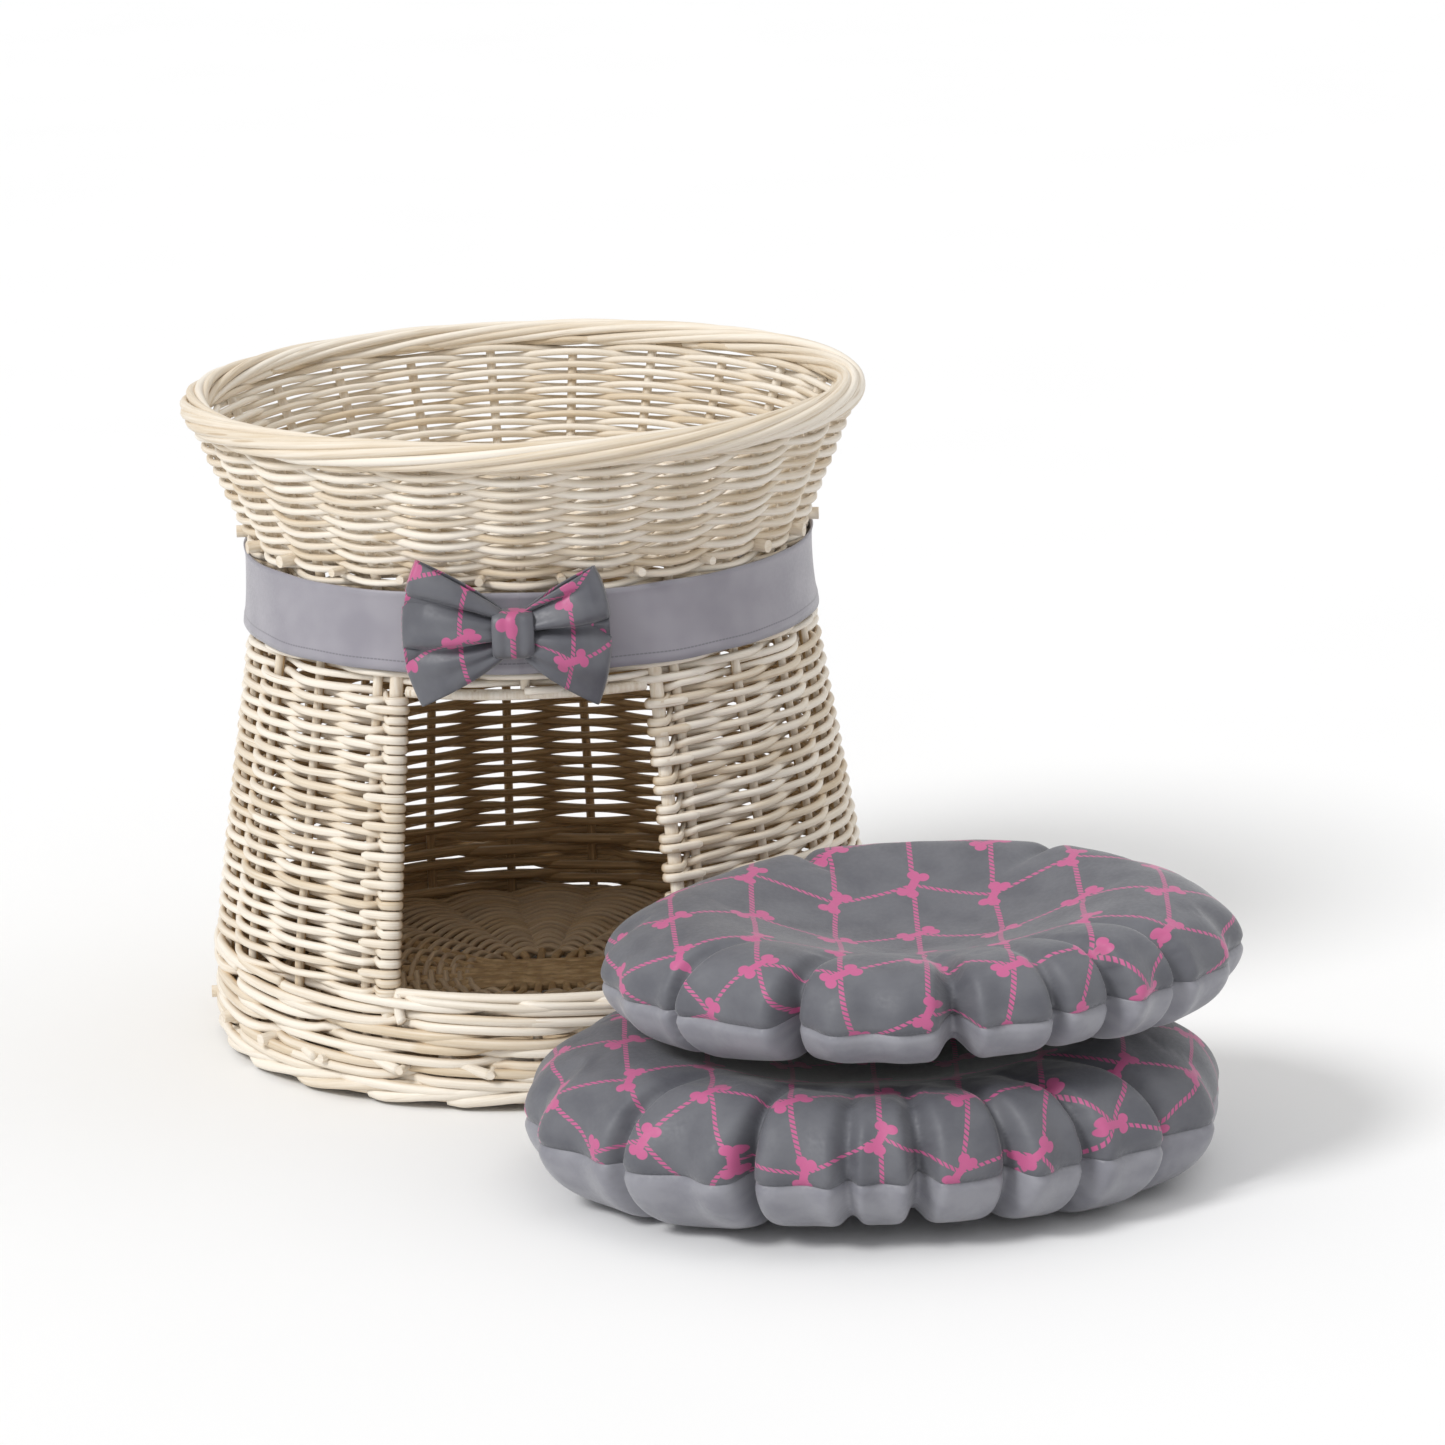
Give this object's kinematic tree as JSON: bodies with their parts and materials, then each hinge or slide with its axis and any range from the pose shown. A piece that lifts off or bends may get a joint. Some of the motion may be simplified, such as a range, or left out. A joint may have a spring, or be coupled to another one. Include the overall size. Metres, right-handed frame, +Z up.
{
  "type": "wicker pet bed basket",
  "caption": "Round woven willow pet tower with an arched cave below, a flared open tray above, a cloth band with a bow round its waist, and loose stuffed cushions beside it.",
  "frame": {"origin": "on the floor, on the basket's own axis, in the plane that the foot border stands on", "axes": "+Z up along the basket's axis; the doorway and the bow face -Y; the cushions lie towards +X and -Y"},
  "size_m": [0.7429, 0.8417, 0.488],
  "materials": {
    "peeled_willow": "matt peeled willow rods, cream with tan shadows",
    "willow_stakes": "matt peeled willow rods, a little darker",
    "willow_floor": "matt brown willow floor",
    "band_cloth": "grey-lilac cotton satin",
    "hook_and_loop": "woven hook and loop tape",
    "bow_cloth": "dark grey printed cotton",
    "cushion_print": "dark grey printed cotton with pink bones",
    "cushion_plain": "plain grey cotton",
    "cushion_fill": "loose polyester fibre"
  },
  "bodies": {
    "basket": {"foot_border": "peeled_willow", "foot_weave": "peeled_willow", "cave_wall_weave": "peeled_willow", "waist_weave": "peeled_willow", "tray_wall_weave": "peeled_willow", "rim_border": "peeled_willow", "stakes": "willow_stakes", "sill_stakes": "willow_stakes", "header_stakes": "willow_stakes", "door_sill_rod": "peeled_willow", "door_lintel_rod": "peeled_willow", "door_post_left": "willow_stakes", "door_post_right": "willow_stakes", "cave_floor_weave": "willow_floor", "cave_floor_pierced_sticks": "willow_floor", "cave_floor_threaded_sticks": "willow_floor", "tray_floor_weave": "willow_floor", "tray_floor_pierced_sticks": "willow_floor", "tray_floor_threaded_sticks": "willow_floor", "waist_band": "band_cloth", "band_fastener": "hook_and_loop", "band_tail": "band_cloth", "bow_loops": "bow_cloth", "bow_knot": "bow_cloth"},
    "lower_cushion": {"lower_cushion_fill": "cushion_fill", "lower_cushion_top_cover": "cushion_print", "lower_cushion_bottom_cover": "cushion_plain"},
    "upper_cushion": {"upper_cushion_fill": "cushion_fill", "upper_cushion_top_cover": "cushion_print", "upper_cushion_bottom_cover": "cushion_plain"}
  },
  "joints": [
    {"name": "lower_cushion_lift", "type": "slide", "parent": "basket", "child": "lower_cushion", "axis": [0, 0, 1], "range_m": [0, 0.45]},
    {"name": "upper_cushion_lift", "type": "slide", "parent": "lower_cushion", "child": "upper_cushion", "axis": [0, 0, 1], "range_m": [0, 0.35]}
  ]
}
